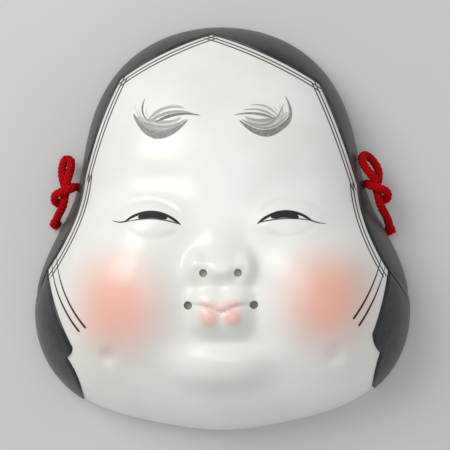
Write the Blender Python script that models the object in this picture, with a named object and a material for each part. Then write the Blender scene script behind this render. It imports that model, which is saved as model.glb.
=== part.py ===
"""An okame mask, lying face up on its back rim: a hollow moulded shell with raised hair,
and the red cord that is tied through its temples.

Metres. +X is the right of the face as it is looked at, +Y runs up the forehead, +Z out of the face.
The origin is on the surface that the rim rests on, under the middle of the mask.
"""

import math

import bmesh
import bpy
import numpy as np

# The shell as a whole
NOSE_Y = -0.018              # height of the nose tip, the middle that the outlines are measured round
CROWN = 0.068                # how far the plain dome stands above the back rim
DOME_POWER = 2.6             # 2 is round, more is flatter in front and steeper at the sides
WALL = 0.005
HOLLOW_FORMS = 0.80          # the hollow back follows the broad forms of the face by this much
HAIR_RISE = 0.0011           # the hair stands this far above the face
HAIR_EDGE = 0.0014           # width of the rounded edge of the hair
FORMS_FADE = (0.985, 0.90)   # the forms of the face end between these parts of the rim radius

# Radius of the rim round the nose, by degrees above the +X side; both sides are alike
RIM_RADIUS = {
    -90: 0.0904, -65: 0.0938, -45: 0.1037, -30: 0.1074, -12: 0.1020,
    8: 0.0896, 28: 0.0863, 45: 0.0992, 65: 0.1180, 90: 0.1254,
}

# The hairline: its corners from the peak down each side to the tip of the lowest lock, each with
# how far the line to the next corner bows outwards
HAIRLINE_RIGHT = [
    ((-0.0040, 0.1007), 0.0010),
    ((0.0509, 0.0735), 0.0004),
    ((0.0702, 0.0218), -0.0038),
    ((0.0843, -0.0222), 0.0004),
    ((0.0745, -0.0528), -0.0011),
    ((0.0796, -0.0636), -0.0010),
    ((0.0779, -0.0834), 0.0),
]
HAIRLINE_LEFT = [
    ((-0.0040, 0.1007), 0.0012),
    ((-0.0514, 0.0775), 0.0008),
    ((-0.0700, 0.0275), -0.0045),
    ((-0.0899, -0.0205), 0.0008),
    ((-0.0744, -0.0584), -0.0009),
    ((-0.0783, -0.0643), -0.0026),
    ((-0.0734, -0.0891), 0.0),
]

# Where the upper hair ends and the lowest lock begins: degrees at the hairline and at the rim
LOCK_CREASE = (-3.0, -12.0)
LOCK_CREASE_WIDTH = 3.0
LOCK_CREASE_DEPTH = 0.0009

# Forms of the face: (x, y), (half width, half height), rise, squareness, steepness. A squareness of 2 is
# an ellipse from the front and more is a rounded square; a steepness of 2 is a soft swelling, and more
# has a flatter top and steeper sides
MIDDLE_FORMS = {
    "forehead": ((0.0, 0.050), (0.060, 0.040), 0.0020, 2.0, 2.0),
    "muzzle": ((0.0, -0.0384), (0.0142, 0.0136), 0.0084, 3.0, 5.0),
    "chin": ((0.0, -0.0680), (0.0225, 0.0114), 0.0078, 2.2, 3.0),
}
SIDE_FORMS = {
    "cheek": ((0.0500, -0.0300), (0.0285, 0.0320), 0.0118, 2.4, 2.6),
    "hollow above the eye": ((0.0330, 0.0235), (0.0200, 0.0095), -0.0022, 2.0, 2.0),
    "eyeball": ((0.0345, 0.0050), (0.0180, 0.0094), 0.0034, 2.2, 2.8),
}
# The nose from the forehead to its underside: height y, rise, half width
NOSE = [
    (0.0320, 0.0000, 0.0160), (0.0180, 0.0006, 0.0140), (0.0040, 0.0024, 0.0116),
    (-0.0060, 0.0054, 0.0110), (-0.0125, 0.0098, 0.0122), (-0.0170, 0.0128, 0.0136),
    (-0.0215, 0.0122, 0.0136), (-0.0248, 0.0060, 0.0134), (-0.0275, 0.0006, 0.0134),
    (-0.0310, 0.0000, 0.0134),
]
NOSE_SQUARENESS = 2.6
NOSE_WING = ((0.0108, -0.0182), (0.0058, 0.0076), 0.0096, 2.0, 3.6)
NOSE_WING_BLEND = 0.0050

# Small forms that are added last, as the forms above
MIDDLE_DETAILS = {
    "groove above the lip": ((0.0, -0.0290), (0.0032, 0.0042), -0.0008, 2.0, 2.0),
    "middle of the upper lip": ((0.0, -0.0378), (0.0042, 0.0030), 0.0012, 2.0, 2.0),
}
SIDE_DETAILS = {
    "nostril": ((0.0094, -0.0214), (0.0048, 0.0036), -0.0020, 2.0, 2.4),
    "upper lip": ((0.0048, -0.0346), (0.0060, 0.0031), 0.0014, 2.0, 2.0),
    "lower lip": ((0.0056, -0.0428), (0.0051, 0.0046), 0.0025, 2.2, 2.4),
    "dimple": ((0.0556, -0.0620), (0.0042, 0.0042), -0.0028, 2.0, 2.4),
}
# Creases round the eye, each an arch: inner corner, outer corner, rise of the arch, width, depth
EYE_CREASES = {
    "slit": ((0.0190, 0.0022), (0.0460, 0.0040), 0.0040, 0.0009, 0.0006),
    "fold of the upper lid": ((0.0196, 0.0086), (0.0512, 0.0088), 0.0054, 0.0012, 0.0007),
    "fold of the lower lid": ((0.0196, -0.0006), (0.0474, 0.0022), -0.0052, 0.0016, 0.0003),
}
# Line between the lips: corner, dip in the middle, half width of the dip, width, depth
MOUTH_LINE = ((0.0158, -0.0364), 0.0040, 0.0096, 0.0009, 0.0014)

# Holes through the wall, and marks that are pressed into it: place, radius
HOLE_SIDES = 16
NOSTRIL_MARK = ((0.0082, -0.0208), 0.0019)
MOUTH_MARK = ((0.0158, -0.0364), 0.0020)
MARK_DEPTH = 0.0020
CORD_HOLE = ((0.0760, 0.0228, 0.0135), 0.0028)
CUT_REACH = 0.030

# The mesh lines of the shell
SECTORS = (6, 6, 6, 6, 1, 2)     # between the corners of the hairline, from the peak down
CHIN_SECTORS = 12
TIP_EDGE = 0.8                   # degrees past the tip of the lowest lock where its edge ends
FACE_RINGS = 28
HAIR_RINGS = 5
INNER_RINGS = 18
RING_CROWDING = 1.25             # above 1, the rings are closer together round the nose

# The cord, in one length from the cut end of the left tail to the cut end of the right one
CORD_RADIUS = 0.00185
CORD_SAMPLES = 80
LEFT_TAIL_AND_LOOP = [
    (-0.0900, 0.0030, 0.0030), (-0.0888, 0.0052, 0.0080), (-0.0864, 0.0080, 0.0150),
    (-0.0836, 0.0112, 0.0212), (-0.0819, 0.0150, 0.0240), (-0.0814, 0.0200, 0.0240),
    (-0.0804, 0.0250, 0.0230), (-0.0797, 0.0300, 0.0184), (-0.0797, 0.0346, 0.0126),
    (-0.0808, 0.0376, 0.0094), (-0.0832, 0.0378, 0.0090), (-0.0844, 0.0350, 0.0108),
    (-0.0844, 0.0300, 0.0148), (-0.0830, 0.0250, 0.0182), (-0.0816, 0.0205, 0.0194),
]
RIGHT_TAIL_AND_LOOP = [
    (-0.0910, -0.0024, 0.0030), (-0.0900, 0.0008, 0.0072), (-0.0876, 0.0052, 0.0140),
    (-0.0840, 0.0102, 0.0208), (-0.0821, 0.0150, 0.0240), (-0.0814, 0.0200, 0.0242),
    (-0.0800, 0.0248, 0.0251), (-0.0766, 0.0288, 0.0271), (-0.0740, 0.0330, 0.0264),
    (-0.0740, 0.0366, 0.0222), (-0.0768, 0.0378, 0.0170), (-0.0806, 0.0352, 0.0140),
    (-0.0832, 0.0304, 0.0148), (-0.0830, 0.0250, 0.0180), (-0.0816, 0.0205, 0.0194),
]
# The turn round both strands and the straight run through the wall, on the left side
KNOT_TURN = [
    (-0.0832, 0.0158, 0.0184), (-0.0852, 0.0140, 0.0184), (-0.0870, 0.0148, 0.0206),
    (-0.0868, 0.0172, 0.0240), (-0.0848, 0.0190, 0.0272), (-0.0816, 0.0202, 0.0284),
    (-0.0786, 0.0212, 0.0266), (-0.0775, 0.0220, 0.0226), (-0.0779, 0.0226, 0.0182),
    (-0.0773, 0.0228, 0.0148), (-0.0742, 0.0228, 0.0135), (-0.0696, 0.0228, 0.0134),
    (-0.0650, 0.0218, 0.0110), (-0.0600, 0.0185, 0.0058), (-0.0540, 0.0130, 0.0028),
]
SLACK = [
    (-0.0420, 0.0000, 0.0023), (-0.0200, -0.0180, 0.0023), (0.0060, -0.0240, 0.0023),
    (0.0300, -0.0130, 0.0023), (0.0450, 0.0030, 0.0023),
]

# Name: colour, roughness
FINISHES = {
    "pearl_white": ((0.86, 0.86, 0.84), 0.28),
    "hair_black": ((0.035, 0.037, 0.042), 0.30),
    "cord_red": ((0.55, 0.004, 0.006), 0.75),
}


def swell(x, y, place, half, rise, squareness, steepness):
    """A soft rise on the face, or a hollow where the rise is negative."""
    across = abs(x - place[0]) / half[0]
    along = abs(y - place[1]) / half[1]
    reach = (across ** squareness + along ** squareness) ** (1.0 / squareness)
    return rise * np.exp(-(reach ** steepness))


def add_forms(x, y, height, middle_forms, side_forms):
    """The height with forms added in the middle, and with the forms that each side has."""
    for form in middle_forms.values():
        height = height + swell(x, y, *form)
    for form in side_forms.values():
        height = height + swell(x, y, *form) + swell(-x, y, *form)
    return height


def smooth_between(stations, values, steps):
    """A smooth curve through values at rising stations, read at the steps; level beyond the ends."""
    stations = np.asarray(stations, dtype=float)
    values = np.asarray(values, dtype=float)
    steps = np.clip(steps, stations[0], stations[-1])
    slopes = np.gradient(values, stations, axis=0)
    piece = np.clip(np.searchsorted(stations, steps, side="right") - 1, 0, len(stations) - 2)
    gap = stations[piece + 1] - stations[piece]
    share = (steps - stations[piece]) / gap
    if values.ndim > 1:
        gap = gap[..., None]
        share = share[..., None]
    start = values[piece] * (1.0 + 2.0 * share) * (1.0 - share) ** 2
    end = values[piece + 1] * share ** 2 * (3.0 - 2.0 * share)
    leave = slopes[piece] * gap * share * (1.0 - share) ** 2
    arrive = slopes[piece + 1] * gap * share ** 2 * (share - 1.0)
    return start + end + leave + arrive


def ramp(value, start, end):
    """0 up to start, 1 from end on, and smooth between them."""
    share = np.clip((value - start) / (end - start), 0.0, 1.0)
    return share * share * (3.0 - 2.0 * share)


def groove(distance, width, depth):
    """A rounded groove along a line that is this far away."""
    return -depth * np.exp(-((distance / width) ** 2))


def join(first, second, softness):
    """The higher of two forms, with a soft crease between them."""
    return 0.5 * (first + second + np.sqrt((first - second) ** 2 + softness ** 2) - softness)


def nose_relief(x, y):
    """The nose without its wings: a low broad bridge that runs out to the round snub tip."""
    stations = NOSE[::-1]
    heights = [station[0] for station in stations]
    rise = smooth_between(heights, [station[1] for station in stations], y)
    half = smooth_between(heights, [station[2] for station in stations], y)
    return rise * np.exp(-((abs(x) / half) ** NOSE_SQUARENESS))


def broad_relief(x, y):
    """Forehead, cheeks, eyeballs, nose, muzzle and chin, which the hollow back follows too."""
    return add_forms(x, y, nose_relief(x, y), MIDDLE_FORMS, SIDE_FORMS)


def eye_relief(x, y):
    """The groove between the lids and the folds above and below it, all arches from corner to corner."""
    height = 0.0
    for inner, outer, rise, width, depth in EYE_CREASES.values():
        share = (abs(x) - inner[0]) / (outer[0] - inner[0])
        arch = inner[1] + (outer[1] - inner[1]) * share + 4.0 * rise * share * (1.0 - share)
        ends = ramp(share, -0.05, 0.12) * ramp(share, 1.05, 0.88)
        height = height + groove(y - arch, width, depth) * ends
    return height


def mouth_line_relief(x, y):
    """The groove between the lips, which dips in the middle."""
    corner, dip, dip_half, width, depth = MOUTH_LINE
    line = corner[1] - dip * ramp(abs(x), dip_half, -0.3 * dip_half)
    ends = ramp(abs(x), 1.1 * corner[0], 0.9 * corner[0])
    return groove(y - line, width, depth) * ends


def full_relief(x, y):
    """The broad forms with nose wings, nostrils, lids, lips and dimples."""
    nose = join(nose_relief(x, y), swell(abs(x), y, *NOSE_WING), NOSE_WING_BLEND)
    height = add_forms(x, y, nose, MIDDLE_FORMS | MIDDLE_DETAILS, SIDE_FORMS | SIDE_DETAILS)
    return height + eye_relief(x, y) + mouth_line_relief(x, y)


def rim_radius(angle):
    """Radius of the rim at an angle: a smooth curve through the named radii."""
    stations = np.radians(list(RIM_RADIUS)) - math.pi / 2
    orders = np.arange(len(stations))
    weights = np.linalg.solve(np.cos(np.outer(stations, orders)), list(RIM_RADIUS.values()))
    return np.cos(np.outer(angle - math.pi / 2, orders)) @ weights


def angle_about_nose(x, y):
    """Angle round the nose, anticlockwise from the chin at -90 degrees."""
    return np.mod(np.arctan2(y - NOSE_Y, x) + math.pi / 2, 2.0 * math.pi) - math.pi / 2


def hairline_sections():
    """The hairline's sections, (start, end, bow), anticlockwise from the right lock's tip to the left's."""
    right = [(end[0], start[0], start[1]) for start, end in zip(HAIRLINE_RIGHT, HAIRLINE_RIGHT[1:])]
    left = [(start[0], end[0], start[1]) for start, end in zip(HAIRLINE_LEFT, HAIRLINE_LEFT[1:])]
    return right[::-1] + left


def hairline_radius(angle):
    """Distance of the hairline from the nose; below the locks it runs on level between their tips."""
    steps = np.linspace(0.0, 1.0, 13)
    angles = []
    radii = []
    for start, end, bow in hairline_sections():
        chord = np.subtract(end, start)
        outward = np.array([chord[1], -chord[0]]) / np.hypot(*chord)
        line = np.outer(1.0 - steps, start) + np.outer(steps, end)
        line = line + np.outer(4.0 * bow * steps * (1.0 - steps), outward)
        angles.extend(angle_about_nose(line[:, 0], line[:, 1]))
        radii.extend(np.hypot(line[:, 0], line[:, 1] - NOSE_Y))
    return np.interp(angle, angles, radii)


def sector_angles():
    """Angles of the mesh lines that run out from the nose, with one on each corner of the hairline."""
    corners = [angle_about_nose(*start) for start, end, bow in hairline_sections()]
    corners.append(angle_about_nose(*HAIRLINE_LEFT[-1][0]))
    edge = math.radians(TIP_EDGE)
    stops = [corners[0] - edge] + corners + [corners[-1] + edge, corners[0] - edge + 2.0 * math.pi]
    counts = [1, *SECTORS[::-1], *SECTORS, 1, CHIN_SECTORS]
    spans = zip(stops, stops[1:], counts)
    return np.concatenate([np.linspace(start, end, count, endpoint=False) for start, end, count in spans])


def hair_presence(angle):
    """1 where hair runs along the rim, 0 below the tips of the two lowest locks."""
    first = angle_about_nose(*HAIRLINE_RIGHT[-1][0])
    last = angle_about_nose(*HAIRLINE_LEFT[-1][0])
    slack = math.radians(TIP_EDGE) / 2.0
    return np.where((angle > first - slack) & (angle < last + slack), 1.0, 0.0)


def hairline_share(angle):
    """How far out the hairline is, as ring shares count it; just inside the rim under the chin."""
    reach = np.clip(hairline_radius(angle) / rim_radius(angle), 0.0, 0.992)
    return np.arcsin(reach) * 2.0 / math.pi


def ring_shares(angle):
    """Rows of ring shares, 0 at the nose to 1 at the rim, with one ring on the hairline."""
    hairline = hairline_share(angle)
    edge = HAIR_EDGE / (1.3 * rim_radius(angle))
    crest = np.minimum(hairline + edge, 0.5 * (hairline + 1.0))
    rows = [hairline * (ring / FACE_RINGS) ** RING_CROWDING for ring in range(FACE_RINGS + 1)]
    rows += [crest + (1.0 - crest) * ring / HAIR_RINGS for ring in range(HAIR_RINGS + 1)]
    return np.array(rows)


def dome(angle, share, wall):
    """Plain dome: its points, and the outward direction in the plane of the angle."""
    rim = rim_radius(angle) - wall
    crown = CROWN - wall
    reach = np.sin(share * math.pi / 2)
    height = crown * np.sqrt(np.clip(1.0 - reach ** DOME_POWER, 0.0, 1.0))
    out = DOME_POWER * reach ** (DOME_POWER - 1.0) / rim
    up = 2.0 * height / crown ** 2
    length = np.hypot(out, up)
    return reach * rim, height, out / length, up / length


def hair_lift(angle, share):
    """How far the hair stands out of the dome, with the crease above the lowest lock."""
    hairline = hairline_share(angle)
    edge = HAIR_EDGE / (1.3 * rim_radius(angle))
    lift = HAIR_RISE * np.sqrt(ramp(share, hairline, hairline + edge))
    side = np.degrees(np.arctan2(np.sin(angle), np.abs(np.cos(angle))))
    along = np.clip((share - hairline) / (1.0 - hairline), 0.0, 1.0)
    crease = LOCK_CREASE[0] + (LOCK_CREASE[1] - LOCK_CREASE[0]) * along
    lift = lift + groove(side - crease, LOCK_CREASE_WIDTH, LOCK_CREASE_DEPTH) * ramp(along, 0.0, 0.2)
    return lift * hair_presence(angle)


def outer_surface(angle, share):
    """Points of the outside of the mask."""
    radius, height, out, up = dome(angle, share, 0.0)
    x = radius * np.cos(angle)
    y = NOSE_Y + radius * np.sin(angle)
    fade = ramp(np.sin(share * math.pi / 2), *FORMS_FADE)
    lift = hair_lift(angle, share)
    radius = radius + lift * out
    z = height + lift * up + fade * full_relief(x, y)
    return np.stack([radius * np.cos(angle), NOSE_Y + radius * np.sin(angle), z], axis=-1)


def inner_surface(angle, share):
    """Points of the hollow back, which follows the broad forms alone."""
    radius, height, out, up = dome(angle, share, WALL)
    x = radius * np.cos(angle)
    y = NOSE_Y + radius * np.sin(angle)
    fade = ramp(np.sin(share * math.pi / 2), *FORMS_FADE)
    return np.stack([x, y, height + HOLLOW_FORMS * fade * broad_relief(x, y)], axis=-1)


def face_height(x, y):
    """Height of the outside of the face at a place seen from the front."""
    angle = angle_about_nose(np.array([x]), np.array([y]))
    share = np.arcsin(math.hypot(x, y - NOSE_Y) / rim_radius(angle)) * 2.0 / math.pi
    return float(outer_surface(angle, share)[0][2])


def add_cap(shell, sectors, rings):
    """Half a globe, its pole at the nose; returns its points with their ring and sector numbers."""
    globe = bmesh.ops.create_uvsphere(shell, u_segments=sectors, v_segments=2 * rings, radius=1.0)
    below = [point for point in globe["verts"] if point.co.z < -1e-4]
    cap = [point for point in globe["verts"] if point.co.z >= -1e-4]
    bmesh.ops.delete(shell, geom=below, context="VERTS")
    numbers = []
    for point in cap:
        polar = math.atan2(math.hypot(point.co.x, point.co.y), point.co.z)
        turn = math.atan2(point.co.y, point.co.x) % (2.0 * math.pi)
        sector = round(turn * sectors / (2.0 * math.pi)) % sectors
        numbers.append((round(polar * rings * 2.0 / math.pi), sector))
    return cap, numbers


def shape_cap(cap, numbers, places):
    for point, (ring, sector) in zip(cap, numbers):
        point.co = places[ring, sector]


def make_shell_mesh():
    """The shell before its holes: an outer and an inner cap, joined by the flat back rim."""
    angle = sector_angles()
    shares = ring_shares(angle)
    inner_shares = np.outer(np.arange(INNER_RINGS + 1) / INNER_RINGS, np.ones(len(angle)))
    shell = bmesh.new()
    outer_cap, outer_numbers = add_cap(shell, len(angle), len(shares) - 1)
    inner_cap, inner_numbers = add_cap(shell, len(angle), INNER_RINGS)
    shape_cap(outer_cap, outer_numbers, outer_surface(angle, shares))
    shape_cap(inner_cap, inner_numbers, inner_surface(angle, inner_shares))
    bmesh.ops.reverse_faces(shell, faces=list({face for point in inner_cap for face in point.link_faces}))
    has_hair = hair_presence(angle) * np.roll(hair_presence(angle), -1) > 0.5
    place = dict(zip(outer_cap, outer_numbers))
    for face in shell.faces:
        corners = [place[point] for point in face.verts if point in place]
        if len(corners) == 4 and min(ring for ring, sector in corners) >= FACE_RINGS:
            numbers = sorted({sector for ring, sector in corners})
            first = numbers[-1] if numbers[-1] - numbers[0] > 1 else numbers[0]
            face.material_index = 1 if has_hair[first] else 0
    open_edges = [edge for edge in shell.edges if edge.is_boundary]
    bmesh.ops.bridge_loops(shell, edges=open_edges)
    bmesh.ops.recalc_face_normals(shell, faces=shell.faces)
    mesh = bpy.data.meshes.new("mask_shell")
    shell.to_mesh(mesh)
    shell.free()
    return mesh


def make_finish(name):
    colour, roughness = FINISHES[name]
    finish = bpy.data.materials.new(name)
    finish.use_nodes = True
    shader = finish.node_tree.nodes["Principled BSDF"]
    shader.inputs["Base Color"].default_value = (*colour, 1.0)
    shader.inputs["Roughness"].default_value = roughness
    shader.inputs["Metallic"].default_value = 0.0
    return finish


def add_cutter(name, radius, place, along_x, collection):
    """A round bar for one hole."""
    turn = (0.0, math.pi / 2, 0.0) if along_x else (0.0, 0.0, 0.0)
    bpy.ops.mesh.primitive_cylinder_add(
        vertices=HOLE_SIDES, radius=radius, depth=CUT_REACH, location=place, rotation=turn)
    cutter = bpy.context.object
    cutter.name = name
    cutter.hide_render = True
    cutter.display_type = "WIRE"
    for owner in list(cutter.users_collection):
        owner.objects.unlink(cutter)
    collection.objects.link(cutter)
    return cutter


def make_shell(collection, cutters):
    """The mask: one moulded shell with pressed nostrils and mouth corners, and holes for the cord."""
    shell = bpy.data.objects.new("mask_shell", make_shell_mesh())
    collection.objects.link(shell)
    shell.data.materials.append(make_finish("pearl_white"))
    shell.data.materials.append(make_finish("hair_black"))
    holes = []
    for side, word in ((-1, "left"), (1, "right")):
        for label, ((x, y), radius) in (("nostril", NOSTRIL_MARK), ("mouth_corner", MOUTH_MARK)):
            bottom = face_height(side * x, y) - MARK_DEPTH
            holes.append((f"{label}_{word}", radius, (side * x, y, bottom + CUT_REACH / 2), False))
        (x, y, z), radius = CORD_HOLE
        holes.append((f"cord_hole_{word}", radius, (side * x, y, z), True))
    for name, radius, place, along_x in holes:
        cut = shell.modifiers.new(name, "BOOLEAN")
        cut.operation = "DIFFERENCE"
        cut.solver = "EXACT"
        cut.object = add_cutter(name, radius, place, along_x, cutters)
    for face in shell.data.polygons:
        face.use_smooth = True
    shell.data.set_sharp_from_angle(angle=math.radians(50.0))
    return shell


def smooth_route(points, samples):
    """Points along a smooth curve through the route, closer together where the route's own are."""
    route = np.array(points)
    gaps = np.sqrt(np.linalg.norm(np.diff(route, axis=0), axis=1))
    stations = np.concatenate([[0.0], np.cumsum(gaps)])
    return smooth_between(stations, route, np.linspace(0.0, stations[-1], samples))


def cord_route():
    """Points along the cord: tail, loop and knot outside each temple, and the slack inside."""
    right = [(-x, y, z) for x, y, z in RIGHT_TAIL_AND_LOOP + KNOT_TURN]
    return LEFT_TAIL_AND_LOOP + KNOT_TURN + SLACK + right[::-1]


def make_cord(collection):
    """The hanging cord, a round tube in one length."""
    curve = bpy.data.curves.new("hanging_cord", "CURVE")
    curve.dimensions = "3D"
    curve.bevel_depth = CORD_RADIUS
    curve.bevel_resolution = 2
    curve.use_fill_caps = True
    spline = curve.splines.new("POLY")
    places = smooth_route(cord_route(), CORD_SAMPLES)
    spline.points.add(len(places) - 1)
    for point, place in zip(spline.points, places):
        point.co = (*place, 1.0)
    cord = bpy.data.objects.new("hanging_cord", curve)
    curve.materials.append(make_finish("cord_red"))
    collection.objects.link(cord)
    return cord


def main():
    for item in list(bpy.data.objects):
        bpy.data.objects.remove(item)
    mask = bpy.data.collections.new("okame_mask")
    cutters = bpy.data.collections.new("cutters")
    bpy.context.scene.collection.children.link(mask)
    bpy.context.scene.collection.children.link(cutters)
    make_shell(mask, cutters)
    make_cord(mask)


main()
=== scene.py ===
"""An okame mask lying face up on a pale table: a glazed shell with hand-painted brows, eyes, lips, blush
and hair lines, raised black hair, and a red braided cord tied through its temples.

Metres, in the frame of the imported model: +X right of the face, +Y up the forehead, +Z out of the face.
Measures of painted marks are in millimetres.
"""

import math

import bpy
import numpy as np
from mathutils import Matrix, Vector


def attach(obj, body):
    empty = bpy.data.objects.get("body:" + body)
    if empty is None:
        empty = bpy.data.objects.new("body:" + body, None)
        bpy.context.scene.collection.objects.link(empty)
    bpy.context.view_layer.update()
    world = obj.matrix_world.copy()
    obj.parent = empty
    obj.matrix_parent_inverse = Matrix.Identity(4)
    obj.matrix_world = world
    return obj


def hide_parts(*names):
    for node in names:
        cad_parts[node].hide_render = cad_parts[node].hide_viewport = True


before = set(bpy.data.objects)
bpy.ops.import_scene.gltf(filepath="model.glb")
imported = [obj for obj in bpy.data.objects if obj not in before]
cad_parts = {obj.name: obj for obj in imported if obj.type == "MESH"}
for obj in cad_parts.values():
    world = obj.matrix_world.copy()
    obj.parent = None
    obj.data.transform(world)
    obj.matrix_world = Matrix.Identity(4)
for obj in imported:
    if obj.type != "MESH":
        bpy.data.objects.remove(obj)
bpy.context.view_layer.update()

# The shell as a whole
NOSE_Y = -0.018              # height of the nose tip, the middle that the outlines are measured round
CROWN = 0.068                # how far the plain dome stands above the back rim
DOME_POWER = 2.6             # 2 is round, more is flatter in front and steeper at the sides
WALL = 0.005
HOLLOW_FORMS = 0.80          # the hollow back follows the broad forms of the face by this much
HAIR_RISE = 0.0011           # the hair stands this far above the face
HAIR_EDGE = 0.0014           # width of the rounded edge of the hair
FORMS_FADE = (0.985, 0.90)   # the forms of the face end between these parts of the rim radius

# Radius of the rim round the nose, by degrees above the +X side; both sides are alike
RIM_RADIUS = {
    -90: 0.0904, -65: 0.0938, -45: 0.1037, -30: 0.1074, -12: 0.1020,
    8: 0.0896, 28: 0.0863, 45: 0.0992, 65: 0.1180, 90: 0.1254,
}

# The hairline: its corners from the peak down each side to the tip of the lowest lock, each with
# how far the line to the next corner bows outwards
HAIRLINE_RIGHT = [
    ((-0.0040, 0.1007), 0.0010),
    ((0.0509, 0.0735), 0.0004),
    ((0.0702, 0.0218), -0.0038),
    ((0.0843, -0.0222), 0.0004),
    ((0.0745, -0.0528), -0.0011),
    ((0.0796, -0.0636), -0.0010),
    ((0.0779, -0.0834), 0.0),
]
HAIRLINE_LEFT = [
    ((-0.0040, 0.1007), 0.0012),
    ((-0.0514, 0.0775), 0.0008),
    ((-0.0700, 0.0275), -0.0045),
    ((-0.0899, -0.0205), 0.0008),
    ((-0.0744, -0.0584), -0.0009),
    ((-0.0783, -0.0643), -0.0026),
    ((-0.0734, -0.0891), 0.0),
]

# Where the upper hair ends and the lowest lock begins: degrees at the hairline and at the rim
LOCK_CREASE = (-3.0, -12.0)
LOCK_CREASE_WIDTH = 1.1
LOCK_CREASE_DEPTH = 0.0009

# Forms of the face: (x, y), (half width, half height), rise, squareness, steepness. A squareness of 2 is
# an ellipse from the front and more is a rounded square; a steepness of 2 is a soft swelling, and more
# has a flatter top and steeper sides
MIDDLE_FORMS = {
    "forehead": ((0.0, 0.050), (0.060, 0.040), 0.0020, 2.0, 2.0),
    "muzzle": ((0.0, -0.0384), (0.0142, 0.0136), 0.0084, 3.0, 5.0),
    "chin": ((0.0, -0.0680), (0.0225, 0.0114), 0.0078, 2.2, 3.0),
}
SIDE_FORMS = {
    "cheek": ((0.0500, -0.0300), (0.0285, 0.0320), 0.0118, 2.4, 2.6),
    "hollow above the eye": ((0.0330, 0.0235), (0.0200, 0.0095), -0.0022, 2.0, 2.0),
    "eyeball": ((0.0345, 0.0050), (0.0180, 0.0094), 0.0034, 2.2, 2.8),
}
# The nose from the forehead to its underside: height y, rise, half width
NOSE = [
    (0.0320, 0.0000, 0.0160), (0.0180, 0.0006, 0.0140), (0.0040, 0.0024, 0.0116),
    (-0.0060, 0.0054, 0.0110), (-0.0125, 0.0098, 0.0122), (-0.0170, 0.0128, 0.0136),
    (-0.0215, 0.0122, 0.0136), (-0.0248, 0.0060, 0.0134), (-0.0275, 0.0006, 0.0134),
    (-0.0310, 0.0000, 0.0134),
]
NOSE_SQUARENESS = 2.6
NOSE_WING = ((0.0108, -0.0182), (0.0058, 0.0076), 0.0096, 2.0, 3.6)
NOSE_WING_BLEND = 0.0050

# Small forms that are added last, as the forms above
MIDDLE_DETAILS = {
    "groove above the lip": ((0.0, -0.0290), (0.0032, 0.0042), -0.0008, 2.0, 2.0),
    "middle of the upper lip": ((0.0, -0.0378), (0.0042, 0.0030), 0.0012, 2.0, 2.0),
}
SIDE_DETAILS = {
    "nostril": ((0.0094, -0.0214), (0.0048, 0.0036), -0.0020, 2.0, 2.4),
    "upper lip": ((0.0048, -0.0346), (0.0060, 0.0031), 0.0014, 2.0, 2.0),
    "lower lip": ((0.0056, -0.0428), (0.0051, 0.0046), 0.0025, 2.2, 2.4),
    "dimple": ((0.0556, -0.0620), (0.0042, 0.0042), -0.0028, 2.0, 2.4),
}
# Creases round the eye, each an arch: inner corner, outer corner, rise of the arch, width, depth
EYE_CREASES = {
    "slit": ((0.0190, 0.0022), (0.0460, 0.0040), 0.0040, 0.0009, 0.0006),
    "fold of the upper lid": ((0.0196, 0.0086), (0.0512, 0.0088), 0.0054, 0.0012, 0.0007),
    "fold of the lower lid": ((0.0196, -0.0006), (0.0474, 0.0022), -0.0052, 0.0016, 0.0003),
}
# Line between the lips: corner, dip in the middle, half width of the dip, width, depth
MOUTH_LINE = ((0.0158, -0.0364), 0.0040, 0.0096, 0.0009, 0.0014)

# Holes: place, radius
NOSTRIL_MARK = ((0.0082, -0.0208), 0.0019)
MOUTH_MARK = ((0.0158, -0.0364), 0.0020)
CORD_HOLE = ((0.0760, 0.0228, 0.0135), 0.0028)
CUT_REACH = 0.030                # length of the drills that cut them
MARK_DEPTH = 0.0020              # nostrils and mouth corners are pressed this deep, not pierced
HOLE_SIDES = 40
ON_HOLE_WALL = 1.001             # a face this many radii from the middle or nearer is on the wall
MARKS_ZONE = (0.0, 0.020, -0.045, -0.010)    # all of the pressed marks are in here

# The mesh lines of the shell
SECTORS = (6, 6, 6, 6, 1, 2)     # between the corners of the hairline, from the peak down
CHIN_SECTORS = 12
TIP_EDGE = 0.8                   # degrees past the tip of the lowest lock where its edge ends
FACE_RINGS = 28
HAIR_RINGS = 5
INNER_RINGS = 18
RING_CROWDING = 1.25             # above 1, the rings are closer together round the nose
FINENESS = 5                     # mesh lines for each one of the numbers above
INNER_FINENESS = 3
SMOOTH_BELOW = 50.0              # degrees; sharper edges stay sharp

# The cord, in one length from the cut end of the left tail to the cut end of the right one
LEFT_TAIL_AND_LOOP = [
    (-0.0900, 0.0030, 0.0030), (-0.0888, 0.0052, 0.0080), (-0.0864, 0.0080, 0.0150),
    (-0.0836, 0.0112, 0.0212), (-0.0819, 0.0150, 0.0240), (-0.0814, 0.0200, 0.0240),
    (-0.0804, 0.0250, 0.0230), (-0.0797, 0.0300, 0.0184), (-0.0797, 0.0346, 0.0126),
    (-0.0808, 0.0376, 0.0094), (-0.0832, 0.0378, 0.0090), (-0.0844, 0.0350, 0.0108),
    (-0.0844, 0.0300, 0.0148), (-0.0830, 0.0250, 0.0182), (-0.0816, 0.0205, 0.0194),
]
RIGHT_TAIL_AND_LOOP = [
    (-0.0910, -0.0024, 0.0030), (-0.0900, 0.0008, 0.0072), (-0.0876, 0.0052, 0.0140),
    (-0.0840, 0.0102, 0.0208), (-0.0821, 0.0150, 0.0240), (-0.0814, 0.0200, 0.0242),
    (-0.0800, 0.0248, 0.0251), (-0.0766, 0.0288, 0.0271), (-0.0740, 0.0330, 0.0264),
    (-0.0740, 0.0366, 0.0222), (-0.0768, 0.0378, 0.0170), (-0.0806, 0.0352, 0.0140),
    (-0.0832, 0.0304, 0.0148), (-0.0830, 0.0250, 0.0180), (-0.0816, 0.0205, 0.0194),
]
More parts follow.
